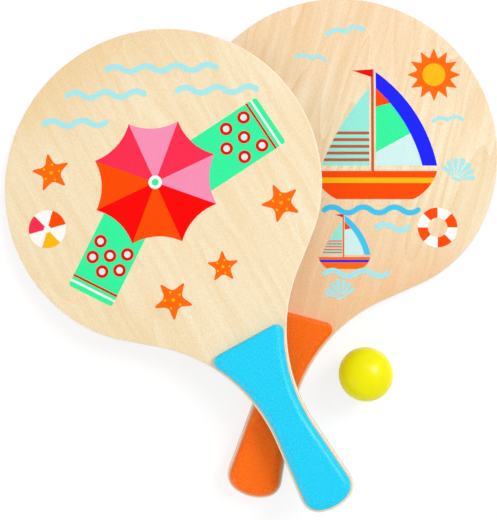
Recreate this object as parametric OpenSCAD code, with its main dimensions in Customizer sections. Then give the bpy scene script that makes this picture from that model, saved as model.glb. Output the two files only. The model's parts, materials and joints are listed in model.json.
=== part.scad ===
// Paddle ball game: two plywood paddles with painted grips, lying crossed, and a ball.

/* [Paddle] */
// Diameter of the round blade
blade_d = 235; // [215:1:250]
// Length of the handle, from the centre of the blade to the end of the butt
handle_l = 260.8; // [240:0.1:285]
// How far the blue paddle's straight shoulder runs inside its blade circle
blue_shoulder_cut = 1.3; // [1:0.1:8]
// The same on the orange paddle, whose neck was sawn nearer to the blade
orange_shoulder_cut = 5.8; // [1:0.1:8]
// Radius that turns the blade into the shoulder
shoulder_r = 94; // [75:1:105]
// Angle between the shoulder and the handle axis
shoulder_angle = 51; // [46:0.5:56]
// Radius of the hollow neck
neck_r = 115; // [95:1:125]
// Width of the handle at its waist
waist_w = 30; // [28:0.1:38]
// Angle at which each side of the handle flares towards the butt
flare_angle = 5.5; // [2:0.5:7]
// Radius of the bowed butt end
butt_r = 30; // [26:0.5:36]
// Radius of the two butt corners
butt_corner_r = 13; // [9:0.5:16]
// Radius worked along every edge of the wood
edge_r = 1.5; // [1:0.1:2]

/* [Plywood] */
// Thickness of each face veneer
veneer_t = 0.8; // [0.6:0.1:1.2]
// Thickness of each of the three inner plies
inner_ply_t = 1.3; // [1.1:0.1:1.8]

/* [Grips] */
// How far the grip's straight front edge lies ahead of the waist, up the hollow neck
grip_front = 63.7; // [48:0.1:70]
// Thickness of a grip scale
grip_t = 6; // [5:0.5:8]
// Bare wood left round the grip
grip_rim = 2.2; // [1.8:0.1:4]
// Radius of the two front corners
grip_corner_r = 5.5; // [4:0.5:8]
// Width of the crowned edge along the sides and the butt
crown_w = 7; // [4:0.5:8]
// Width of the crowned edge along the front
crown_front_w = 2.5; // [1.5:0.5:4]
// Height of the straight wall below the crowned edge
grip_wall_t = 1; // [0.5:0.5:2]

/* [Ball] */
// Diameter of the ball
ball_d = 39; // [36:1:44]
// Wall of its two half shells
ball_wall = 3; // [2:0.5:5]

/* [Layout] */
// Heading of the orange handle, from +X
orange_heading = -105; // [-115:0.1:-95]
// Heading of the blue handle, from +X
blue_heading = -61.1; // [-66:0.1:-56]
// How far the blue blade lies to the left of the orange one
blue_left = 132; // [125:0.1:140]
// How far the blue blade lies below the orange one
blue_down = 23.5; // [15:0.1:35]
// How far the ball lies to the right of the orange blade's centre
ball_right = 16.9; // [10:0.1:40]
// How far the ball lies below the orange blade's centre
ball_down = 161; // [155:0.1:190]
// Air left between the two paddles where one lies on the other
rest_gap = 0.3; // [0.2:0.05:0.5]

/* [Hidden] */

// Colours of the face veneers, the inner plies, the two paints and the ball
face_wood = "#F5DFB8";
inner_wood = "#D9B47E";
blue_paint = "#29D5FC";
orange_paint = "#FD6C18";
ball_yellow = "#F5F10F";

// Steps along each arc of the outline, and across each rounded edge
blade_steps = 46;
shoulder_steps = 8;
neck_steps = 14;
corner_steps = 6;
butt_steps = 4;
edge_steps = 3;
crown_steps = 6;
ball_steps = 96;
// Smallest corner radius, and smallest height of one layer of a loft
least_r = 0.5;
least_layer = 0.1;

// Heights of the glue lines above the back face
cross_z = veneer_t;
core_z = veneer_t + inner_ply_t;
front_cross_z = core_z + inner_ply_t;
front_veneer_z = front_cross_z + inner_ply_t;
wood_t = front_veneer_z + veneer_t;

// A paddle lies along +X: blade centre at the origin, handle towards +X, back face at z = 0.
// The straight shoulder is tangent to the shoulder arc before it and the neck arc after it, and
// the two paddles differ only by cut, how far that shoulder runs inside the blade circle.
blade_r = blade_d / 2;
shoulder_across = [sin(shoulder_angle), cos(shoulder_angle)];
shoulder_along = [-cos(shoulder_angle), sin(shoulder_angle)];
neck_rise = waist_w / 2 + neck_r * (1 - cos(shoulder_angle));
flare_across = [-sin(flare_angle), cos(flare_angle)];
flare_along = [cos(flare_angle), sin(flare_angle)];
butt_c = [handle_l - butt_r, 0];
crown_h = grip_t - grip_wall_t;

function shoulder_c(cut) =
    let (room = blade_r - shoulder_r)
    (room - cut) * shoulder_across + sqrt(pow(room, 2) - pow(room - cut, 2)) * shoulder_along;
function waist_x(cut) =
    (blade_r - cut - neck_rise * shoulder_across.y) / shoulder_across.x
    + neck_r * shoulder_across.x;
function neck_c(cut) = [waist_x(cut), waist_w / 2 + neck_r];
function grip_x(cut) = waist_x(cut) - grip_front;

// An arc without its first point, which ends the arc before it
function arc(centre, r, from, to, steps) = [
    for (i = [1 : steps])
        let (a = from + (to - from) * i / steps)
        centre + r * [cos(a), sin(a)]
];

// Butt corner of an outline drawn in by inset: [centre, radius]
function butt_corner(cut, inset) =
    let (
        r = max(butt_corner_r - inset, least_r),
        flare_start = neck_c(cut) - neck_r * flare_across,
        across = -r - flare_across * (butt_c - flare_start) - inset,
        along = sqrt(pow(butt_r - inset - r, 2) - pow(across, 2))
    )
    [butt_c + across * flare_across + along * flare_along, r];

// Handle side of an outline drawn in by inset, from the neck arc at angle from to the butt
function handle_side(cut, inset, from, steps) =
    let (
        corner = butt_corner(cut, inset),
        turn = atan2(corner[0].y, corner[0].x - butt_c.x)
    )
    concat(
        arc(neck_c(cut), neck_r + inset, from, 270 + flare_angle, steps),
        [corner[0] + corner[1] * flare_across],
        arc(corner[0], corner[1], 90 + flare_angle, turn, corner_steps),
        arc(butt_c, butt_r - inset, turn, 0, butt_steps)
    );

// One side of the wood, from the tip of the blade to the middle of the butt
function wood_side(cut, inset) =
    let (
        centre = shoulder_c(cut),
        start = atan2(centre.y, centre.x)
    )
    concat(
        [[inset - blade_r, 0]],
        arc([0, 0], blade_r - inset, 180, start, blade_steps),
        arc(centre, shoulder_r - inset, start, 90 - shoulder_angle, shoulder_steps),
        [neck_c(cut) - (neck_r + inset) * shoulder_across],
        handle_side(cut, inset, 270 - shoulder_angle, neck_steps)
    );

// One side of a grip, drawn in by side along the handle and by front at its front edge
function grip_side(cut, side, front) =
    let (
        inset = grip_rim + side,
        r = max(grip_corner_r - side, least_r),
        x = grip_x(cut) + front + r,
        neck = neck_c(cut),
        reach = neck_r + inset + r,
        c = [x, neck.y - sqrt(pow(reach, 2) - pow(x - neck.x, 2))],
        up = atan2(neck.y - c.y, neck.x - c.x)
    )
    concat(
        [[x - r, 0], [x - r, c.y]],
        arc(c, r, 180, up, corner_steps),
        handle_side(cut, inset, 180 + up, neck_steps)
    );

// A closed outline from one side and its mirror image
function both_sides(side) = concat(
    side,
    [for (i = [len(side) - 2 : -1 : 1]) [side[i].x, -side[i].y]]
);

// Solid through mirrored outlines of equal length: sides is a list of [one side, height]
module loft(sides) {
    n = len(sides[0][0]) - 1;
    m = 2 * n;
    last = (len(sides) - 1) * m;
    lid = concat(
        [[0, 1, 2], [0, 2, m - 2], [0, m - 2, m - 1]],
        [for (i = [2 : n - 2]) [i, i + 1, m - i - 1]],
        [for (i = [2 : n - 1]) [i, m - i - 1, m - i]]
    );
    polyhedron(
        points = [for (s = sides) for (p = both_sides(s[0])) [p.x, p.y, s[1]]],
        faces = concat(
            [for (k = [0 : m : last - m]) for (i = [0 : m - 1])
                let (a = k + i, b = k + (i + 1) % m)
                each [[a, b, b + m], [a, b + m, a + m]]],
            [for (f = lid) [f[0] + last, f[1] + last, f[2] + last]],
            [for (f = lid) [f[2], f[1], f[0]]]
        )
    );
}

// How far the rounded edge draws the wood in at a height above the back face
function edge_inset(z) =
    let (depth = min(z, wood_t - z))
    depth < edge_r ? edge_r - sqrt(pow(edge_r, 2) - pow(edge_r - depth, 2)) : 0;

edge_depths = [for (k = [0 : edge_steps]) edge_r * (1 - cos(90 * k / edge_steps))];
edge_levels = concat(edge_depths, [for (k = [edge_steps : -1 : 0]) wood_t - edge_depths[k]]);

// One ply with its share of the rounded edge, between two heights
module ply(cut, from, to) {
    inner = [for (z = edge_levels) if (z > from + least_layer && z < to - least_layer) z];
    loft([for (z = concat([from], inner, [to])) [wood_side(cut, edge_inset(z)), z]]);
}

// The core ply reaches the full outline, because no rounded edge gets as deep
module core_ply(cut) {
    translate([0, 0, core_z])
        linear_extrude(inner_ply_t) polygon(both_sides(wood_side(cut, 0)));
}

// A grip scale on its glue face: a straight wall, then a crown of elliptical section
module grip_scale(cut) {
    loft(concat(
        [[grip_side(cut, 0, 0), 0]],
        [for (k = [0 : crown_steps])
            let (a = 90 * k / crown_steps, in = 1 - cos(a))
            [grip_side(cut, crown_w * in, crown_front_w * in), grip_wall_t + crown_h * sin(a)]]
    ));
}

module front_grip(cut) {
    translate([0, 0, wood_t]) grip_scale(cut);
}

module back_grip(cut) {
    mirror([0, 0, 1]) grip_scale(cut);
}

// Where things lie on the table, from the centre of the orange blade.
// A slope is the rise of a paddle's plane along X and along Y.
orange_c = [0, 0];
blue_c = [-blue_left, -blue_down];
ball_c = [ball_right, -ball_down];
orange_dir = [cos(orange_heading), sin(orange_heading)];
blue_dir = [cos(blue_heading), sin(blue_heading)];

function left_of(dir) = [-dir.y, dir.x];
function unit(v) = v / norm(v);

// The orange paddle stands on the tip of its blade and the front edge of its back grip
flat_r = blade_r - edge_r;
orange_foot_x = grip_x(orange_shoulder_cut) + crown_front_w;
orange_pitch = atan2(grip_t, orange_foot_x + flat_r);
orange_lift = flat_r * sin(orange_pitch);
orange_slope = tan(orange_pitch) * orange_dir;
function orange_face_z(p) = orange_lift + orange_slope * p + wood_t / cos(orange_pitch);

// Where the flat top of the orange grip ends, seen under the front edge of the blue back grip:
// that edge, as a line in the orange paddle's own plane, meets the circle of the orange neck.
blue_foot_x = grip_x(blue_shoulder_cut) + crown_front_w;
edge_at = blue_c + blue_foot_x * blue_dir;
orange_neck = neck_c(orange_shoulder_cut);
edge_from = [edge_at * orange_dir, edge_at * left_of(orange_dir)]
    - [orange_neck.x, -orange_neck.y];
edge_dir = [left_of(blue_dir) * orange_dir, left_of(blue_dir) * left_of(orange_dir)];
edge_mid = edge_from * edge_dir;
edge_reach = pow(neck_r + grip_rim + crown_w, 2) - edge_from * edge_from + pow(edge_mid, 2);
grip_crossing = edge_at - (edge_mid - sqrt(edge_reach)) * left_of(blue_dir);

// The blue paddle leans with its blade's rim on the table and on the orange rim, and with its
// back grip on the orange front grip. Each try puts the two rim points below the last slope.
function slope_through(a, b, c) =
    let (n = cross(b - a, c - a))
    [-n.x / n.z, -n.y / n.z];
function blue_lean(slope, tries) =
    let (
        low = blue_c - flat_r * unit(slope),
        rim = orange_c - flat_r * unit(slope - orange_slope),
        on_table = [low.x, low.y, 0],
        on_rim = [rim.x, rim.y, orange_face_z(rim) + rest_gap],
        on_grip = [grip_crossing.x, grip_crossing.y,
            orange_face_z(grip_crossing) + 2 * grip_t + rest_gap]
    )
    tries == 0 ? slope : blue_lean(slope_through(on_table, on_rim, on_grip), tries - 1);
lean_tries = 8;
blue_slope = blue_lean(blue_dir, lean_tries);
blue_lift = flat_r * norm(blue_slope);
blue_pitch = atan(blue_slope * blue_dir);
blue_roll = atan(blue_slope * left_of(blue_dir) * cos(blue_pitch));

// The set stands centred on the origin
function laid_out(cut, centre, dir, pitch, roll) = [
    for (p = both_sides(wood_side(cut, 0)))
        centre + p.x * cos(pitch) * dir + p.y * cos(roll) * left_of(dir)
];
spread = concat(
    laid_out(orange_shoulder_cut, orange_c, orange_dir, orange_pitch, 0),
    laid_out(blue_shoulder_cut, blue_c, blue_dir, blue_pitch, blue_roll)
);
home = [
    (min([for (p = spread) p.x]) + max([for (p = spread) p.x])) / 2,
    (min([for (p = spread) p.y]) + max([for (p = spread) p.y])) / 2
];

module on_orange() {
    translate([orange_c.x - home.x, orange_c.y - home.y, orange_lift])
        rotate([0, 0, orange_heading]) rotate([0, -orange_pitch, 0])
            children();
}

module on_blue() {
    translate([blue_c.x - home.x, blue_c.y - home.y, blue_lift])
        rotate([0, 0, blue_heading]) rotate([blue_roll, -blue_pitch, 0])
            children();
}

module half_shell() {
    rotate_extrude($fn = ball_steps)
        intersection() {
            difference() {
                circle(ball_d / 2, $fn = ball_steps);
                circle(ball_d / 2 - ball_wall, $fn = ball_steps);
            }
            square(ball_d / 2);
        }
}

module at_ball() {
    translate([ball_c.x - home.x, ball_c.y - home.y, ball_d / 2]) children();
}

module blue_front_veneer() {
    color(face_wood) on_blue() ply(blue_shoulder_cut, front_veneer_z, wood_t);
}
module blue_front_cross_ply() {
    color(inner_wood) on_blue() ply(blue_shoulder_cut, front_cross_z, front_veneer_z);
}
module blue_core_ply() {
    color(face_wood) on_blue() core_ply(blue_shoulder_cut);
}
module blue_back_cross_ply() {
    color(inner_wood) on_blue() ply(blue_shoulder_cut, cross_z, core_z);
}
module blue_back_veneer() {
    color(face_wood) on_blue() ply(blue_shoulder_cut, 0, cross_z);
}
module blue_front_grip() {
    color(blue_paint) on_blue() front_grip(blue_shoulder_cut);
}
module blue_back_grip() {
    color(blue_paint) on_blue() back_grip(blue_shoulder_cut);
}

module orange_front_veneer() {
    color(face_wood) on_orange() ply(orange_shoulder_cut, front_veneer_z, wood_t);
}
module orange_front_cross_ply() {
    color(inner_wood) on_orange() ply(orange_shoulder_cut, front_cross_z, front_veneer_z);
}
module orange_core_ply() {
    color(face_wood) on_orange() core_ply(orange_shoulder_cut);
}
module orange_back_cross_ply() {
    color(inner_wood) on_orange() ply(orange_shoulder_cut, cross_z, core_z);
}
module orange_back_veneer() {
    color(face_wood) on_orange() ply(orange_shoulder_cut, 0, cross_z);
}
module orange_front_grip() {
    color(orange_paint) on_orange() front_grip(orange_shoulder_cut);
}
module orange_back_grip() {
    color(orange_paint) on_orange() back_grip(orange_shoulder_cut);
}

module ball_upper_half() { color(ball_yellow) at_ball() half_shell(); }
module ball_lower_half() { color(ball_yellow) at_ball() mirror([0, 0, 1]) half_shell(); }

blue_front_veneer();
blue_front_cross_ply();
blue_core_ply();
blue_back_cross_ply();
blue_back_veneer();
blue_front_grip();
blue_back_grip();
orange_front_veneer();
orange_front_cross_ply();
orange_core_ply();
orange_back_cross_ply();
orange_back_veneer();
orange_front_grip();
orange_back_grip();
ball_upper_half();
ball_lower_half();
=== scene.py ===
import json
from functools import cache
from math import asin, atan, atan2, cos, degrees, pi, radians, sin, sqrt, tan

import bmesh
import bpy
from mathutils import Matrix, Vector


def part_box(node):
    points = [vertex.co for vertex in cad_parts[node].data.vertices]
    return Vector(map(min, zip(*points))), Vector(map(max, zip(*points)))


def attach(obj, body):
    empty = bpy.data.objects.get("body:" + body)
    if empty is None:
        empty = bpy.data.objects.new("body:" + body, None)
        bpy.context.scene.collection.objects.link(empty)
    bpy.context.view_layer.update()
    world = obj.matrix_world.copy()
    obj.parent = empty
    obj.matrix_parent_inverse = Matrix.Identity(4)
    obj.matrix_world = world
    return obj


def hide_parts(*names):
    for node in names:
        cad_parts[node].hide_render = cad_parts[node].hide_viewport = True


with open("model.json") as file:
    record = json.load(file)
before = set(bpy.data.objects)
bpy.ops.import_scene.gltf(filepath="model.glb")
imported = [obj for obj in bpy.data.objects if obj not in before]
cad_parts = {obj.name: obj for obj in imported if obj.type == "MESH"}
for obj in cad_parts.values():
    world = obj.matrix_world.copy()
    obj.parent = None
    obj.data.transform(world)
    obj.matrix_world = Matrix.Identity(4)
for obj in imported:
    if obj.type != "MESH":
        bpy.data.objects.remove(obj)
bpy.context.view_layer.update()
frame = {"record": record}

# How the two paddles lie: each leans on its blade and its grip, so it has its own flat frame,
# with X along the handle from the middle of the blade, Z up through the wood, back face at 0.
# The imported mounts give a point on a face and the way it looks; the layout gives the heading.
mm = 0.001
veneer_t = 0.8
inner_ply_t = 1.3
wood_t = 2 * veneer_t + 3 * inner_ply_t
mounts = {mount["name"]: mount for mount in frame["record"]["mounts"]}
headings = {"blue": -61.1, "orange": -105}


def lying(mount, heading, face_z):
    """From a paddle's own millimetres to the metres of the whole set"""
    look = Vector(mounts[mount]["axis"]).normalized()
    up = look if look.z > 0 else -look
    along = Vector((cos(radians(heading)), sin(radians(heading)), 0))
    along.z = -along.dot(up) / up.z
    along.normalize()
    turn = Matrix((along, up.cross(along), up)).transposed().to_4x4()
    here = Matrix.Translation(mounts[mount]["pos_m"])
    return here @ turn @ Matrix.Translation((0, 0, -face_z * mm)) @ Matrix.Scale(mm, 4)


lies = {
    "blue": lying("blue_blade_face", headings["blue"], wood_t),
    "orange": lying("orange_back_face", headings["orange"], 0),
}

# The wooden blank of a paddle: five plies of poplar pressed flat, cut to a round blade that
# runs into a waisted handle with a bowed butt, and rounded over along both rims. The orange
# paddle's neck was sawn nearer to the blade: its straight shoulder cuts deeper into the circle.
blade_r = 117.5
handle_l = 260.8
shoulder_cuts = {"blue": 1.3, "orange": 5.8}
shoulder_r = 94
shoulder_angle = radians(51)
neck_r = 115
waist_w = 30
flare_angle = radians(5.5)
butt_r = 30
butt_corner_r = 13
edge_r = 1.5
edge_segments = 6
blade_steps, shoulder_steps, neck_steps, corner_steps, butt_steps = 120, 16, 36, 12, 10
merge_gap = 0.001

shoulder_across = Vector((sin(shoulder_angle), cos(shoulder_angle)))
shoulder_along = Vector((-cos(shoulder_angle), sin(shoulder_angle)))
neck_rise = waist_w / 2 + neck_r * (1 - cos(shoulder_angle))
flare_across = Vector((-sin(flare_angle), cos(flare_angle)))
flare_along = Vector((cos(flare_angle), sin(flare_angle)))
butt_c = Vector((handle_l - butt_r, 0))


def shoulder_c(cut):
    """The centre of the arc that eases the blade into its straight shoulder"""
    room = blade_r - shoulder_r
    return (room - cut) * shoulder_across + shoulder_along * sqrt(room ** 2 - (room - cut) ** 2)


def waist_x(cut):
    """How far down the handle its narrowest place is"""
    return ((blade_r - cut - neck_rise * shoulder_across.y) / shoulder_across.x
            + neck_r * shoulder_across.x)


def neck_c(cut):
    """The centre of the hollow arc of the neck"""
    return Vector((waist_x(cut), waist_w / 2 + neck_r))


def trace(bm, start, moves):
    """Leads a point along an outline: straight to a place, or round a centre by an angle"""
    tip = bm.verts.new(start.to_3d())
    for move in moves:
        if len(move) == 2:
            grown = bmesh.ops.extrude_vert_indiv(bm, verts=[tip])["verts"]
            grown[0].co = Vector(move).to_3d()
        else:
            centre, angle, steps = move
            grown = bmesh.ops.spin(bm, geom=[tip], cent=centre.to_3d(), axis=(0, 0, 1),
                                   angle=angle, steps=steps)["geom_last"]
        tip = grown[0]


def handle_moves(cut, inset, neck_from):
    """The side of the handle, drawn in by inset, from an angle on the neck arc to the butt"""
    corner_r = butt_corner_r - inset
    flare_start = neck_c(cut) - neck_r * flare_across
    across = -corner_r - flare_across.dot(butt_c - flare_start) - inset
    along = sqrt((butt_r - inset - corner_r) ** 2 - across ** 2)
    corner = butt_c + across * flare_across + along * flare_along
    turn = atan2(corner.y, corner.x - butt_c.x)
    return [
        (neck_c(cut), 1.5 * pi + flare_angle - neck_from, neck_steps),
        corner + corner_r * flare_across,
        (corner, turn - pi / 2 - flare_angle, corner_steps),
        (butt_c, -turn, butt_steps),
    ]


def close_outline(bm):
    """Mirrors one side of an outline about the handle's axis"""
    bmesh.ops.mirror(bm, geom=bm.verts[:] + bm.edges[:], axis="Y", merge_dist=merge_gap)


def thicken(bm, faces, height):
    """Makes a flat shape a solid one, upwards"""
    rise = bmesh.ops.extrude_face_region(bm, geom=faces)["geom"]
    bmesh.ops.translate(bm, vec=(0, 0, height),
                        verts=[g for g in rise if isinstance(g, bmesh.types.BMVert)])
    bmesh.ops.recalc_face_normals(bm, faces=bm.faces[:])


def round_over(bm, corners, r, segments, affect):
    bmesh.ops.bevel(bm, geom=corners, offset=r, segments=segments, profile=0.5,
                    affect=affect, material=-1)


def wooden_blank(cut):
    bm = bmesh.new()
    centre = shoulder_c(cut)
    start = atan2(centre.y, centre.x)
    trace(bm, Vector((-blade_r, 0)), [
        (Vector((0, 0)), start - pi, blade_steps),
        (centre, pi / 2 - shoulder_angle - start, shoulder_steps),
        neck_c(cut) - neck_r * shoulder_across,
        *handle_moves(cut, 0, 1.5 * pi - shoulder_angle),
    ])
    close_outline(bm)
    thicken(bm, bmesh.ops.contextual_create(bm, geom=bm.edges[:])["faces"], wood_t)
    rims = [e for e in bm.edges if e.verts[0].co.z == e.verts[1].co.z]
    round_over(bm, rims, edge_r, edge_segments, "EDGES")
    return bm


# The plies of each paddle: poplar peeled off the log in wide sheets, and the blank parted at
# its glue lines. The face veneers and the core run along the handle, with long tongues of
# growth, and the cross plies show end grain at the rim, which is sanded bare and pale.
ply_levels = {
    "back_veneer": (0, veneer_t),
    "back_cross_ply": (veneer_t, veneer_t + inner_ply_t),
    "core_ply": (veneer_t + inner_ply_t, veneer_t + 2 * inner_ply_t),
    "front_cross_ply": (veneer_t + 2 * inner_ply_t, wood_t - veneer_t),
    "front_veneer": (wood_t - veneer_t, wood_t),
}
crease_angle = radians(30)


class Value:
    """A number or colour that varies over a surface: sums on it add Math nodes"""

    def __init__(self, finish, socket):
        self.finish, self.socket = finish, socket

    def __add__(self, other): return self.finish.math("ADD", self, other)
    def __sub__(self, other): return self.finish.math("SUBTRACT", self, other)
    def __rsub__(self, other): return self.finish.math("SUBTRACT", other, self)
    def __mul__(self, other): return self.finish.math("MULTIPLY", self, other)
    def __pow__(self, other): return self.finish.math("POWER", self, other)
    def __rpow__(self, other): return self.finish.math("POWER", other, self)
    def __abs__(self): return self.finish.math("ABSOLUTE", self)
    __radd__, __rmul__ = __add__, __mul__


class Finish:
    """One material, and the nodes that it is mixed from"""

    def __init__(self, name, store=bpy.data.materials, shader="Principled BSDF"):
        self.material = store.new(name)
        self.material.use_nodes = True
        self.tree = self.material.node_tree
        self.shader = self.tree.nodes[shader]

    def node(self, kind, settings=None, inputs=None, output=0):
        """Adds a node of a type: its settings come first, then what its sockets get"""
        made = self.tree.nodes.new("ShaderNode" + kind)
        for name, setting in (settings or {}).items():
            setattr(made, name, setting)
        self.feed(made, inputs or {})
        return Value(self, made.outputs[output])

    def feed(self, node, inputs):
        """Links what varies to a node's sockets, and sets what is the same all over"""
        for name, value in inputs.items():
            if isinstance(value, Value):
                self.tree.links.new(value.socket, node.inputs[name])
            else:
                node.inputs[name].default_value = value

    def surface(self, **inputs):
        self.feed(self.shader, {name.replace("_", " "): v for name, v in inputs.items()})

    def place(self, lie):
        """Reads where a spot is in the piece's own millimetres: along, across and up"""
        back = lie.inverted()
        self.spot = self.node("Mapping", inputs={
            "Vector": self.node("TexCoord", output="Object"), "Location": back.translation,
            "Rotation": back.to_euler(), "Scale": back.to_scale()})
        split = self.node("SeparateXYZ", inputs={"Vector": self.spot}).socket.node
        self.along, self.across, self.up = (Value(self, split.outputs[axis]) for axis in "XYZ")

    def math(self, operation, *values):
        return self.node("Math", {"operation": operation}, dict(enumerate(values)))

    def noise(self, x, y, z, detail=2.0, rough=0.5):
        """Cloudy grey over coordinates that may be stretched"""
        spot = self.node("CombineXYZ", inputs={"X": x, "Y": y, "Z": z})
        return self.node("TexNoise", inputs={
            "Vector": spot, "Scale": 1.0, "Detail": detail, "Roughness": rough})

    def grain(self, size, detail):
        """Even speckle, size in millimetres"""
        return self.node("TexNoise", inputs={
            "Vector": self.spot, "Scale": 1 / size, "Detail": detail})

    def step(self, value, low, high, to_low=0.0, to_high=1.0):
        """Smooth passage from one number to another"""
        return self.node("MapRange", {"interpolation_type": "SMOOTHSTEP"},
                         dict(enumerate((value, low, high, to_low, to_high))))

    def mix(self, share, first, second, blend="MIX"):
        """One colour over another: their sockets on the node are 6 and 7, and the result is 2"""
        return self.node("Mix", {"data_type": "RGBA", "blend_type": blend},
                         {0: share, 6: first, 7: second}, output=2)

    def relief(self, strength, height_mm, pattern):
        """Fine unevenness of a surface, as a bump"""
        return self.node("Bump", inputs={
            "Strength": strength, "Distance": height_mm * mm, "Height": pattern})


def paint_colour(red, green, blue):
    """A colour as it shows, in the numbers that a shader takes"""
    shown = (red / 255, green / 255, blue / 255)
    return [c / 12.92 if c <= 0.04045 else ((c + 0.055) / 1.055) ** 2.4 for c in shown] + [1.0]


# bands: the share of the tongues in them. heart: where the warm heartwood starts and is full,
# along the handle. crest: how much of it comes back at the top of the blade.
veneers = {
    "blue": {"seed": 7.3, "bands": 0.45, "heart": (-15, -115), "crest": 0.0,
             "pale": paint_colour(247, 233, 201), "tan": paint_colour(238, 211, 164),
             "warm": paint_colour(236, 200, 142)},
    "orange": {"seed": 21.9, "bands": 0.7, "heart": (10, 140), "crest": 0.45,
               "pale": paint_colour(246, 234, 204), "tan": paint_colour(229, 197, 146),
               "warm": paint_colour(238, 186, 134)},
}
crest_from, crest_full = 20, -70
heart_wander = 60
sway_reach = 16
ring_count = 8.5
tan_rings = (3.1, 5.4)
tongue_edge, line_w = 1.6, 0.10
speckle_size = 0.75
band_share, streak_share, heart_share, line_share = 0.55, 0.42, 0.75, 0.42
even_shade, fibre_shade, speckle_shade, pore_shade = 0.765, 0.10, 0.33, 0.10
dark_warmth = (0.7, 1.2, 2.1)  # how fast red, green and blue fade in the darker wood
sanded_share, sanded_from, sanded_full = 0.75, 0.03, 0.4
bare_rim = paint_colour(248, 240, 230)
# glue brown: the real glue lines between the plies, and at the grips' foot also painted contact
# shade
glue_and_shade_brown = paint_colour(150, 105, 62)
glue_share, glue_w = 0.45, 0.14


def veneer_pattern(finish, paddle):
    """Tongues of growth, soft streaks and speckle of rotary-cut poplar, along the handle"""
    cut = veneers[paddle]
    x, y = finish.along, finish.across

    def figure(along_rate, across_rate, layer=0, side=y, **finer):
        """A figure of the wood, from how often it changes per millimetre"""
        return finish.noise(x * along_rate, side * across_rate, cut["seed"] + layer, **finer)

    sway = figure(0.012, 0.02) * sway_reach
    rings = figure(0.0045, 0.028, side=y + sway, detail=1.0) * ring_count
    tongue = finish.math("FRACT", rings)
    patches = figure(0.010, 0.016, layer=3)
    heart_x = x + patches * heart_wander
    return {
        "bands": (tongue ** tongue_edge * cut["bands"]
                  + finish.step(rings, *tan_rings) * (1 - cut["bands"])),
        "lines": finish.step(tongue, 0.0, line_w, 1.0, 0.0) * finish.step(patches, 0.40, 0.60),
        "heart": (finish.step(heart_x, *cut["heart"])
                  + finish.step(heart_x, crest_from, crest_full, 0.0, cut["crest"])),
        "streaks": figure(0.008, 0.17, layer=5, side=y + sway * 0.6, detail=3.0),
        "fibres": figure(0.06, 2.2, layer=8, rough=0.6),
        "speckle": finish.grain(speckle_size, detail=1.5),
        "pores": figure(0.35, 3.4, layer=11, detail=1.0),
    }


def veneer_colour(finish, paddle, pattern):
    cut = veneers[paddle]
    bands = (pattern["bands"] * band_share
             + finish.step(pattern["streaks"], 0.3, 0.7) * streak_share)
    colour = finish.mix(bands, cut["pale"], cut["tan"])
    colour = finish.mix(pattern["heart"] * heart_share, colour, cut["warm"])
    colour = finish.mix(pattern["lines"] * line_share, colour, cut["pale"])
    shade = (even_shade + pattern["fibres"] * fibre_shade + pattern["speckle"] * speckle_shade
             - finish.step(pattern["pores"], 0.72, 0.80) * pore_shade)
    dark = finish.node("CombineXYZ", inputs=dict(enumerate(shade ** k for k in dark_warmth)))
    colour = finish.mix(1.0, colour, dark, blend="MULTIPLY")
    sanded = finish.step(abs(finish.up - wood_t / 2), wood_t / 2 - sanded_full,
                         wood_t / 2 - sanded_from, sanded_share, 0.0)
    return finish.mix(sanded, colour, bare_rim)


def face_veneer(paddle):
    finish = Finish(paddle + "_face_veneer")
    finish.place(lies[paddle])
    pattern = veneer_pattern(finish, paddle)
    relief = finish.relief(0.25, 0.05, pattern["fibres"] + pattern["speckle"] * 0.3)
    finish.surface(Base_Color=veneer_colour(finish, paddle, pattern),
                   Roughness=0.52 + pattern["fibres"] * 0.12, Normal=relief,
                   Specular_IOR_Level=0.25)
    return finish.material


def cut_ply(paddle, name, dark, light):
    """The sanded edge of an inner ply, with end grain or long grain and thin glue lines"""
    finish = Finish(f"{paddle}_{name}")
    finish.place(lies[paddle])
    x, y = finish.along, finish.across
    if name != "core_ply":
        x, y = y, x
    ends = finish.noise(x * 0.5, y * 2.2, finish.up * 3.0)
    colour = finish.mix(finish.step(ends, 0.3, 0.7), dark, light)
    depth = abs(finish.up - sum(ply_levels[name]) / 2)
    glue = finish.step(depth, inner_ply_t / 2 - glue_w, inner_ply_t / 2)
    colour = finish.mix(glue * glue_share, colour, glue_and_shade_brown)
    finish.surface(Base_Color=colour, Roughness=0.62 + ends * 0.15,
                   Normal=finish.relief(0.3, 0.06, ends))
    return finish.material


def finish_piece(bm, name, lie, materials, body, node=None):
    """Puts a shape in its place, on a body, and in the stead of its CAD node if it has one"""
    bmesh.ops.transform(bm, matrix=lie, verts=bm.verts[:])
    for edge in bm.edges:
        edge.smooth = edge.calc_face_angle(0) < crease_angle
    for face in bm.faces:
        face.smooth = len(face.verts) <= 4  # only the big flat faces have more corners
    mesh = bpy.data.meshes.new(name)
    bm.to_mesh(mesh)
    bm.free()
    for material in materials:
        mesh.materials.append(material)
    piece = bpy.data.objects.new(name, mesh)
    bpy.context.scene.collection.objects.link(piece)
    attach(piece, body)
    if node:
        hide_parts(node)


def saw(bm, at, off):
    """Cuts a shape along a plane, drops the side that off points to, and gives the cut edges"""
    cut = bmesh.ops.bisect_plane(bm, geom=bm.verts[:] + bm.edges[:] + bm.faces[:],
                                 plane_co=at, plane_no=off, clear_outer=True)["geom_cut"]
    return [g for g in cut if isinstance(g, bmesh.types.BMEdge)]


def part_ply(blank, low, high):
    """A copy of the blank between two glue lines, closed where it was parted"""
    bm = blank.copy()
    for level, side in ((low, -1), (high, 1)):
        if 0 < level < wood_t:
            bmesh.ops.contextual_create(bm, geom=saw(bm, (0, 0, level), (0, 0, side)))
    bmesh.ops.recalc_face_normals(bm, faces=bm.faces[:])
    return bm


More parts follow.
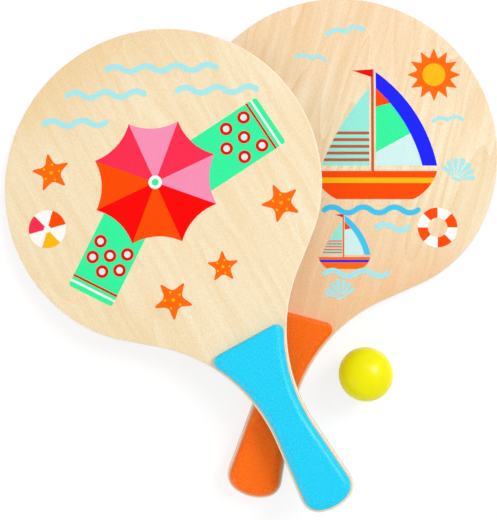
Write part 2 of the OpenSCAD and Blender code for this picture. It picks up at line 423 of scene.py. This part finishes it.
core_tones = paint_colour(224, 190, 160), paint_colour(240, 214, 188)
cross_tones = paint_colour(190, 140, 110), paint_colour(218, 176, 144)
for paddle, cut in shoulder_cuts.items():
    blank = wooden_blank(cut)
    veneer = face_veneer(paddle)
    for name, (low, high) in ply_levels.items():
        if name.endswith("veneer"):
            material, slot = veneer, "face_veneer"
        else:
            tones = core_tones if name == "core_ply" else cross_tones
            material, slot = cut_ply(paddle, name, *tones), "inner_ply"
        finish_piece(part_ply(blank, low, high), f"{paddle}_{name}_wood", lies[paddle],
                     [material], paddle + "_paddle", f"{paddle}_{name}")
    blank.free()

# The grips: two painted wooden scales glued on each handle, front and back, straight at the
# front, crowned along the sides and the butt, and a little smaller than the wood all round.
grip_front = 63.7
grip_t = 6
grip_rim = 2.2
grip_corner_r = 5.5
least_corner_r = 0.5
crown_w = 7
crown_front_w = 2.5
grip_wall_t = 1
crown_segments = 16


def add_shape(bm, shape, place):
    """Adds a shape to another at its place, and lets it go"""
    mesh = bpy.data.meshes.new("shape")
    shape.transform(place)
    shape.to_mesh(mesh)
    shape.free()
    bm.from_mesh(mesh)
    bpy.data.meshes.remove(mesh)


def grip_ring(bm, cut, side, front, z):
    """The outline of a grip at one height, and its edges"""
    inset = grip_rim + side
    r = max(grip_corner_r - side, least_corner_r)
    neck = neck_c(cut)
    x = neck.x - grip_front + front + r
    c = Vector((x, neck.y - sqrt((neck_r + inset + r) ** 2 - (x - neck.x) ** 2)))
    up = atan2(neck.y - c.y, neck.x - c.x)
    ring = bmesh.new()
    trace(ring, Vector((x - r, 0)), [
        Vector((x - r, c.y)), (c, up - pi, corner_steps), *handle_moves(cut, inset, pi + up)])
    close_outline(ring)
    known = set(bm.edges)
    add_shape(bm, ring, Matrix.Translation((0, 0, z)))
    return [e for e in bm.edges if e not in known]


def grip_scale(cut):
    bm = bmesh.new()
    rings = [grip_ring(bm, cut, 0, 0, 0)]
    for k in range(crown_segments + 1):
        a = pi / 2 * k / crown_segments
        rings.append(grip_ring(bm, cut, crown_w * (1 - cos(a)), crown_front_w * (1 - cos(a)),
                               grip_wall_t + (grip_t - grip_wall_t) * sin(a)))
    for low, high in zip(rings, rings[1:]):
        bmesh.ops.bridge_loops(bm, edges=low + high)
    for ring in (rings[0], rings[-1]):
        bmesh.ops.contextual_create(bm, geom=ring)
    return bm


# evenness: how far the even colour covers the light and deep grit of the sprayed coat; the deep
# tone also serves as painted shade on the lower crown
grip_colours = {
    "blue": {"even": paint_colour(24, 210, 252), "light": paint_colour(62, 238, 255),
             "deep": paint_colour(0, 176, 234), "evenness": 0.55},
    "orange": {"even": paint_colour(255, 104, 4), "light": paint_colour(255, 146, 30),
               "deep": paint_colour(255, 62, 0), "evenness": 0.35},
}
peel_size, grit_size = 0.8, 0.72
# crown shade: painted shade that darkens the lower part of the crown, on every side
crown_shade_share, crown_shade_heights = 0.4, (0.6, 4.8)
# foot: a brown line where the grip meets the wood, partly glue and partly painted contact shade
foot_glue_and_shade_share, foot_glue_and_shade_heights = 0.35, (0.05, 0.5)


def grip_paint(paddle):
    """Satin paint with a fine orange-peel texture, painted shade down the crown's sides, and glue
    with painted contact shade at its foot
    """
    finish = Finish(paddle + "_grip_paint")
    finish.place(lies[paddle])
    coat = grip_colours[paddle]
    peel, grit = finish.grain(peel_size, detail=1.5), finish.grain(grit_size, detail=2.0)
    height = abs(finish.up - wood_t / 2) - wood_t / 2
    tone = finish.mix(finish.step(grit, 0.34, 0.66), coat["deep"], coat["light"])
    tone = finish.mix(coat["evenness"], tone, coat["even"])
    # painted shade: the lower crown is darkened towards the deep tone
    tone = finish.mix(finish.step(height, *crown_shade_heights, crown_shade_share, 0.0), tone, coat["deep"])
    # the foot of the grip: a brown line that is partly glue and partly painted contact shade
    tone = finish.mix(finish.step(height, *foot_glue_and_shade_heights, foot_glue_and_shade_share, 0.0), tone, glue_and_shade_brown)
    finish.surface(Base_Color=tone, Roughness=0.16 + peel * 0.10,
                   Normal=finish.relief(0.95, 0.09, peel), Specular_IOR_Level=0.12)
    return finish.material


for paddle, cut in shoulder_cuts.items():
    paint = grip_paint(paddle)
    for name, flip, rise in (("front_grip", 1, wood_t), ("back_grip", -1, 0)):
        bm = grip_scale(cut)
        bmesh.ops.transform(bm, matrix=Matrix.Translation((0, 0, rise)) @ Matrix.Diagonal(
            (1, 1, flip, 1)), verts=bm.verts[:])
        bmesh.ops.recalc_face_normals(bm, faces=bm.faces[:])
        finish_piece(bm, f"{paddle}_{name}_scale", lies[paddle], [paint],
                     paddle + "_paddle", f"{paddle}_{name}")

# The prints: opaque screen inks, laid on the front veneers as films a few hundredths of a
# millimetre thick, one over the other. They are drawn upright, in millimetres from the middle
# of each blade. On the blue paddle is a beach from above: sea, parasol, towels and starfish.
film_t = 0.02
ink_tones = {
    "mint": (54, 243, 161), "aqua": (140, 238, 224), "pale_blue": (163, 233, 240),
    "ice": (206, 244, 244), "blue": (26, 34, 255), "sky": (66, 198, 240),
    "red": (236, 4, 8), "scarlet": (250, 2, 4), "rose": (250, 46, 80), "pink": (247, 145, 183),
    "flame": (252, 76, 2), "coral": (252, 106, 10), "amber": (250, 186, 20),
    "white": (250, 250, 246), "rust": (196, 92, 60),
}
ink_order = list(ink_tones)
thin_inks = ("pale_blue", "ice", "aqua")
thin_see, opaque_see = 0.08, 0.004
bow_steps, stroke_steps, corner_rounds, tip_rounds = 16, 10, 8, 6
disc_steps, fine_steps, dot_steps = 40, 24, 16
wave_r, wave_angle = 9, 80


@cache
def printing_ink(paddle, name):
    """Flat ink, with a trace of the fibres and bands under it"""
    finish = Finish(f"{paddle}_{name}_ink")
    finish.place(lies[paddle])
    pattern = veneer_pattern(finish, paddle)
    under = finish.mix(thin_see if name in thin_inks else opaque_see,
                       paint_colour(*ink_tones[name]), veneer_colour(finish, paddle, pattern))
    shade = 0.90 + pattern["fibres"] * 0.03 + pattern["speckle"] * 0.17
    finish.surface(Base_Color=finish.mix(1.0, under, shade, blend="MULTIPLY"),
                   Roughness=0.5 + pattern["speckle"] * 0.12,
                   Normal=finish.relief(0.15, 0.03, pattern["fibres"]), Specular_IOR_Level=0.01)
    return finish.material


def film(sheet, ink, shape, layer=1, at=(0, 0), turn=0, size=1):
    """Prints a flat shape on the sheet in one ink, and lets the shape go"""
    for face in shape.faces:
        face.material_index = ink_order.index(ink)
    thicken(shape, shape.faces[:], film_t * layer)
    add_shape(sheet, shape, Matrix.Translation((*at, 0)) @ Matrix.Rotation(
        radians(turn), 4, "Z") @ Matrix.Diagonal((size, size, 1, 1)))


def print_on(paddle, name, sheet):
    """Lays a sheet of prints on a paddle's front, in the inks that it uses"""
    upright = Matrix.Rotation(radians(-headings[paddle]), 4, "Z")
    used = sorted({face.material_index for face in sheet.faces})
    for face in sheet.faces:
        face.material_index = used.index(face.material_index)
    finish_piece(sheet, f"{paddle}_print_{name}",
                 lies[paddle] @ Matrix.Translation((0, 0, wood_t)) @ upright,
                 [printing_ink(paddle, ink_order[k]) for k in used], paddle + "_paddle")


def disc(r, segments=disc_steps):
    bm = bmesh.new()
    bmesh.ops.create_circle(bm, cap_ends=True, radius=r, segments=segments)
    return bm


def cut_paper(points, corner=0, bows=()):
    """A shape with straight sides and rounded corners, or with some sides bowed out or in"""
    bm = bmesh.new()
    points = [Vector(point) for point in points]
    moves = []
    for k, start in enumerate(points):
        end = points[(k + 1) % len(points)]
        sag = dict(bows).get(k, 0)
        chord = end - start
        if sag:
            r = (chord.length_squared / 4 + sag ** 2) / (2 * sag)
            centre = (start + end) / 2 + chord.normalized().orthogonal() * (r - sag)
            moves.append((centre, 4 * atan(2 * sag / chord.length), bow_steps))
        else:
            moves.append(end)
    trace(bm, points[0], moves)
    bmesh.ops.remove_doubles(bm, verts=bm.verts[:], dist=merge_gap)
    bmesh.ops.contextual_create(bm, geom=bm.edges[:])
    if corner:
        round_over(bm, bm.verts[:], corner, corner_rounds, "VERTICES")
    return bm


def bar(length, width, corner=0):
    x, y = length / 2, width / 2
    return cut_paper([(-x, -y), (x, -y), (x, y), (-x, y)], corner)


def trim(bm, at, off):
    """Cuts a flat shape along a line, and drops the side that off points to"""
    saw(bm, (*at, 0), (*off, 0))
    return bm


def star(arms, r, hollow, tip, notch):
    """A star with rounded tips and notches"""
    bm = disc(r, arms * 2)
    tips, notches = bm.verts[:][0::2], bm.verts[:][1::2]
    bmesh.ops.scale(bm, vec=(hollow, hollow, 1), verts=notches)
    for corners, corner in ((tips, tip), (notches, notch)):
        round_over(bm, corners, corner, tip_rounds, "VERTICES")
    return bm


def stroke(width, bends, round_ends=True):
    """A brush stroke of even width: each bend has a radius, minus to the right, and an angle"""
    bm = bmesh.new()
    ends = [bm.verts.new((0, side * width / 2, 0)) for side in (-1, 1)]
    grown = bmesh.ops.contextual_create(bm, geom=ends)["edges"] + ends
    place = Matrix()
    places = [Matrix.Rotation(pi, 4, "Z")]
    for radius, angle in bends:
        turn = radians(angle) * (1 if radius > 0 else -1)
        hub = Matrix.Translation((0, radius, 0))
        grown = bmesh.ops.spin(bm, geom=grown, cent=place @ hub.translation, axis=(0, 0, 1),
                               angle=turn, steps=stroke_steps)["geom_last"]
        place = place @ hub @ Matrix.Rotation(turn, 4, "Z") @ hub.inverted()
    if round_ends:
        for end in (*places, place):
            add_shape(bm, trim(disc(width / 2, fine_steps), (0, 0), (-1, 0)), end)
        bmesh.ops.remove_doubles(bm, verts=bm.verts[:], dist=merge_gap)
    return bm


def wave(sheet, ink, at, width, count, layer=1):
    """A level stroke that swings from side to side, some number of times"""
    bends = [(wave_r if k % 2 else -wave_r, wave_angle) for k in range(count)]
    film(sheet, ink, stroke(width, bends), layer, at, turn=wave_angle / 2)


def wedges(sheet, tones, r, sag, at, turn):
    """Panels round a hub, with their rims bowed out or in"""
    part = 2 * pi / len(tones)
    for k, ink in enumerate(tones):
        panel = cut_paper([(0, 0), (r, 0), (r * cos(part), r * sin(part))], bows=[(1, sag)])
        film(sheet, ink, panel, layer=4, at=at, turn=turn + degrees(part) * k)


sea = bmesh.new()
for at, count in (((-41, 87), 7), ((-71, 68), 5), ((12, 70), 5), ((-88, 47), 4)):
    wave(sea, "pale_blue", at, width=4.4, count=count)
print_on("blue", "sea", sea)

parasol_at = Vector((-4, 2))
parasol_r = 48
rim_from, rim_to = 36, 54  # no spot lies where the parasol's rim would cut it
stripe_w = 1.6
stripes = ((4.5, "white"), (8.5, "red"))
spot_r, spot_eye_r = 4.7, 2.4
spot_pitch, row_pitch, plain_end = 0.165, 0.31, 14
towels = bmesh.new()
for at, turn, length, width in (((42, 22), 33, 92, 40), ((-34, -46), 64, 78, 36)):
    film(towels, "mint", bar(length, width, 2), at=at, turn=turn)
    laid = Matrix.Translation((*at, 0)) @ Matrix.Rotation(radians(turn), 4, "Z")
    for side in (-1, 1):
        for inwards, ink in stripes:
            band = laid @ Vector((side * (length / 2 - inwards), 0, 0))
            film(towels, ink, bar(stripe_w, width), layer=2, at=band.xy, turn=turn)
    for row in range(-1, 2):
        for k in range(-2, 3):
            x = (k + (0.5 if row == 0 else 0)) * length * spot_pitch
            spot = (laid @ Vector((x, row * width * row_pitch, 0))).xy
            from_hub = (spot - parasol_at).length
            if abs(x) < length / 2 - plain_end and not rim_from < from_hub < rim_to:
                film(towels, "red", disc(spot_r), layer=2, at=spot)
                film(towels, "ice", disc(spot_eye_r, fine_steps), layer=3, at=spot)
print_on("blue", "towels", towels)

parasol = bmesh.new()
wedges(parasol, ["pink", "rose", "pink", "rose", "flame", "scarlet", "flame", "scarlet"],
       parasol_r, sag=-4.5, at=parasol_at, turn=-20)
film(parasol, "white", disc(5), layer=5, at=parasol_at)
film(parasol, "mint", disc(2.6, fine_steps), layer=6, at=parasol_at)
print_on("blue", "parasol", parasol)

starfish = bmesh.new()
starfish_arms = 5
dots = [(6, 0.9)] * starfish_arms + [(0, 1.3)]
for at, turn, size in (((-82, 10), 12, 1.0), ((10, -84), 40, 1.0), ((46, -60), 4, 0.8),
                       ((88, -14), 24, 1.0)):
    film(starfish, "coral", star(arms=starfish_arms, r=16, hollow=0.40, tip=3.2, notch=3.0),
         at=at, turn=turn, size=size)
    for k, (reach, r) in enumerate(dots):
        a = radians(turn + 360 / starfish_arms * k)
        film(starfish, "amber", disc(r, dot_steps), layer=2, size=size,
             at=(at[0] + reach * size * cos(a), at[1] + reach * size * sin(a)))
print_on("blue", "starfish", starfish)

beach_ball = bmesh.new()
beach_ball_at = (-84, -32)
wedges(beach_ball, ["flame", "white", "rose", "white", "amber", "white"],
       r=14, sag=1.9, at=beach_ball_at, turn=15)
film(beach_ball, "white", disc(2.6, fine_steps), layer=5, at=beach_ball_at)
print_on("blue", "beach_ball", beach_ball)

# The orange paddle's prints, in the same inks: a tall boat and a small one on short waves, with
# a sun, gulls, a ring buoy and two scallops. The boats are made of overlapping flat shapes.
mast_x = 1
sail_x = 2.5
boom_y = 4
mast_top = 76
slat_low, slat_high, slat_pitch = 7.2, 9.4, 5
wing_w, wing_angle = 3.4, 84
buoy_at, buoy_r, buoy_w, buoy_parts = (72, -54), 11, 7.5, 8
sun_at = (70, 60)


def hull_shape():
    return cut_paper([(-44, 0), (-27, -21), (30, -21), (48, 0)], bows=[(0, 3), (2, 3)])


def jib_shape():
    return cut_paper([(-sail_x, boom_y), (-sail_x, 62), (-38, boom_y)], bows=[(1, 3)])


def mainsail_shape(foot, head, belly):
    return cut_paper([(sail_x, boom_y), (foot, boom_y), (sail_x, head)], bows=[(1, belly)])


def strip(shape, low, high):
    """What a flat shape has between two heights"""
    return trim(trim(shape, (0, high), (0, 1)), (0, low), (0, -1))


boats = bmesh.new()
for at, size, hull, stripe, sail, edge, slat in (
        ((24, -12), 1.0, "flame", "amber", "mint", "blue", "rust"),
        ((2, -76), 0.42, "coral", "blue", "ice", "sky", "flame")):
    for ink, shape, layer in (
            (hull, hull_shape(), 1),
            (stripe, strip(hull_shape(), -9, -5), 2),
            ("rust", cut_paper([(-mast_x, 0), (mast_x, 0), (mast_x, mast_top),
                                (-mast_x, mast_top)]), 1),
            (edge, mainsail_shape(48, 74, 8), 1),
            (sail, mainsail_shape(37, 62, 5), 2),
            ("ice", trim(mainsail_shape(37, 62, 5), (sail_x, 14), (-0.55, 1)), 3),
            ("flame", trim(mainsail_shape(37, 62, 5), (sail_x, 48), (0.25, -1)), 4),
            ("aqua", jib_shape(), 1),
            *((slat, strip(jib_shape(), slat_low + k * slat_pitch,
                           slat_high + k * slat_pitch), 2) for k in range(5)),
            ("red", cut_paper([(0, mast_top), (0, 70), (-15, 75)]), 2)):
        film(boats, ink, shape, layer, at=at, size=size)
print_on("orange", "boats", boats)

waves = bmesh.new()
for at, count, ink in (((-12, -41), 6, "sky"), ((27, -54), 2, "pale_blue"),
                       ((-12, -88), 4, "pale_blue")):
    wave(waves, ink, at, width=4.0, count=count, layer=5)
print_on("orange", "waves", waves)

sun = bmesh.new()
film(sun, "coral", star(arms=12, r=20, hollow=0.62, tip=0.9, notch=1.2), at=sun_at)
film(sun, "amber", disc(8.5), layer=2, at=sun_at)
print_on("orange", "sun", sun)

gulls = bmesh.new()
for at, turn, size in (((4, 92), 8, 1.0), ((-22, 72), -6, 0.8), ((80, 26), 4, 0.8)):
    for bend_r, lean, layer in ((10, 138, 1), (-10, 42, 2)):
        wing = stroke(wing_w, [(bend_r, wing_angle)])
        bmesh.ops.rotate(wing, cent=(0, 0, 0), matrix=Matrix.Rotation(radians(lean), 3, "Z"),
                         verts=wing.verts[:])
        film(gulls, "pale_blue", wing, layer, at=at, turn=turn, size=size)
print_on("orange", "gulls", gulls)

buoy = bmesh.new()
part = 360 / buoy_parts
for k in range(buoy_parts):
    a = radians(part * k)
    film(buoy, "white" if k % 2 else "flame",
         stroke(buoy_w, [(buoy_r, part)], round_ends=False), turn=part * k,
         at=(buoy_at[0] + buoy_r * sin(a), buoy_at[1] - buoy_r * cos(a)))
print_on("orange", "ring_buoy", buoy)

ribs, spread, rib_r, hinge_r = 7, 132, 15, 3
rib_share, side_loss, rib_bow = 0.74, 0.16, 0.8


def scallop(sheet, ink, at, turn, size=1):
    """Seven ribs that open like a fan over a small hinge, shorter to the sides"""
    half = tan(radians(spread / (ribs - 1) / 2)) * rib_share
    for k in range(ribs):
        lean = spread * (k / (ribs - 1) - 0.5)
        long = rib_r * (1 - side_loss * abs(lean) / (spread / 2))
        rib = cut_paper([(hinge_r, -hinge_r * half), (long, -long * half),
                         (long, long * half), (hinge_r, hinge_r * half)],
                        bows=[(1, long * half * rib_bow)])
        film(sheet, ink, rib, at=at, turn=turn + lean, size=size)
    film(sheet, ink, bar(length=2.2, width=7, corner=0.8), at=at, turn=turn, size=size)


scallops = bmesh.new()
scallop(scallops, "pale_blue", (86, -18), 70)
scallop(scallops, "pale_blue", (0, -106), 100, 0.85)
print_on("orange", "scallops", scallops)

# The ball: two moulded half shells of soft plastic, cemented at the equator, where the joint is
# scraped to a hairline groove. It is plain yellow and satin all over.
ball_r = 19.5
ball_wall = 3
seam_groove = 0.12
ball_steps = 128
cloud_size, pebble_size = 9, 0.5
ball_c = (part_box("ball_lower_half")[0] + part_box("ball_upper_half")[1]) / 2
ball_lie = Matrix.Translation(ball_c) @ Matrix.Scale(mm, 4)


def half_shell(flip):
    bm = bmesh.new()
    lean = asin(seam_groove / ball_r)
    for r, start in ((ball_r, lean), (ball_r - ball_wall, 0.0)):
        point = bm.verts.new((r * cos(start), 0, r * sin(start)))
        bmesh.ops.spin(bm, geom=[point], cent=(0, 0, 0), axis=(0, 1, 0),
                       angle=start - pi / 2, steps=ball_steps // 4)
    ends = sorted(bm.verts, key=lambda v: v.co.z)[:2]
    inner, outer = sorted(ends, key=lambda v: v.co.x)
    lip = bmesh.ops.extrude_vert_indiv(bm, verts=[outer])["verts"][0]
    lip.co = (ball_r - seam_groove, 0, 0)
    bmesh.ops.contextual_create(bm, geom=[lip, inner])
    bmesh.ops.spin(bm, geom=bm.verts[:] + bm.edges[:], cent=(0, 0, 0), axis=(0, 0, 1),
                   angle=2 * pi, steps=ball_steps, use_merge=True)
    bmesh.ops.remove_doubles(bm, verts=bm.verts[:], dist=merge_gap)
    bmesh.ops.scale(bm, vec=(1, 1, flip), verts=bm.verts[:])
    bmesh.ops.recalc_face_normals(bm, faces=bm.faces[:])
    return bm


def ball_skin():
    """Smooth yellow plastic that lets a little light in under its surface"""
    finish = Finish("ball_yellow_skin")
    finish.place(ball_lie)
    cloud, pebble = finish.grain(cloud_size, detail=2.0), finish.grain(pebble_size, detail=2.0)
    colour = finish.mix(finish.step(cloud, 0.3, 0.7), paint_colour(252, 236, 1),
                        paint_colour(253, 241, 2))
    finish.surface(Base_Color=colour, Roughness=0.26 + cloud * 0.08,
                   Normal=finish.relief(0.12, 0.03, pebble), Specular_IOR_Level=0.1,
                   Subsurface_Weight=0.6, Subsurface_Radius=(1.2, 1.0, 0.05),
                   Subsurface_Scale=0.004)
    return finish.material


skin = ball_skin()
for name, flip in (("ball_upper_half", 1), ("ball_lower_half", -1)):
    finish_piece(half_shell(flip), name + "_shell", ball_lie, [skin], "ball", name)

# The table, the light and the camera: a white sheet seen straight from above, a soft lamp from
# the upper right, a weak warm one opposite, two that only glint on the paint, and a white room.
table_size = 6.0
lit_white, seen_grey = paint_colour(232, 232, 232), paint_colour(150, 150, 150)
no_glow, shown_glow = (0, 0, 0, 1), (0.733, 0.733, 0.733, 1)
paper_tooth = 900.0
room_light = 0.63
lamp_reach = 3.2
lens, sensor_w = 47.69, 36
eye_at = (-0.00225, -0.00953, 0.520)


def looked_at(finish):
    """1 where a backdrop is seen, straight or mirrored, and 0 where it lights the object"""
    straight, mirrored, through = (finish.node("LightPath", output=f"Is {ray} Ray")
                                   for ray in ("Camera", "Glossy", "Transmission"))
    return finish.math("MAXIMUM", straight, finish.math("MAXIMUM", mirrored, through))


bm = bmesh.new()
bmesh.ops.create_grid(bm, x_segments=1, y_segments=1, size=table_size / 2)
table_top = bpy.data.meshes.new("table")
bm.to_mesh(table_top)
bm.free()
paper = Finish("white_sheet")
seen = looked_at(paper)
tooth = paper.node("TexNoise", inputs={
    "Vector": paper.node("TexCoord", output="Object"), "Scale": paper_tooth})
paper.surface(Base_Color=paper.mix(seen, lit_white, seen_grey), Roughness=0.9 + tooth * 0.05,
              Specular_IOR_Level=0.0, Emission_Color=paper.mix(seen, no_glow, shown_glow),
              Emission_Strength=1.0)
table_top.materials.append(paper.material)
table = bpy.data.objects.new("table", table_top)
bpy.context.scene.collection.objects.link(table)


def lamp(name, heading, height, wide, tall, power, tint=(1, 1, 1)):
    """A soft lamp that looks at the middle of the table"""
    light = bpy.data.lights.new(name, "AREA")
    light.shape, light.size, light.size_y = "ELLIPSE", wide, tall
    light.energy, light.color = power, tint
    at = lamp_reach * Vector((cos(radians(heading)) * cos(radians(height)),
                              sin(radians(heading)) * cos(radians(height)), sin(radians(height))))
    stand = bpy.data.objects.new(name, light)
    stand.matrix_world = Matrix.Translation(at) @ at.to_track_quat("Z", "Y").to_matrix().to_4x4()
    bpy.context.scene.collection.objects.link(stand)
    return stand


lamp("key_lamp", heading=36, height=43, wide=1.45, tall=1.45, power=48).visible_glossy = False
lamp("fill_lamp", heading=215, height=20, wide=2.4, tall=2.4, power=33, tint=(1.0, 0.90, 0.84))
lamp("glint_lamp", heading=48, height=56, wide=4.6, tall=0.22, power=90).visible_diffuse = False
lamp("spot_lamp", heading=40, height=46, wide=0.7, tall=0.7, power=150).visible_diffuse = False

room = Finish("white_room", bpy.data.worlds, "Background")
room.surface(Color=(1, 1, 1, 1), Strength=room.step(looked_at(room), 0, 1, room_light, 1.0))
bpy.context.scene.world = room.material

camera = bpy.data.cameras.new("camera")
camera.lens, camera.sensor_width = lens, sensor_w
eye = bpy.data.objects.new("camera", camera)
eye.location = eye_at
bpy.context.scene.collection.objects.link(eye)
bpy.context.scene.camera = eye
bpy.context.scene.view_settings.view_transform = "Standard"
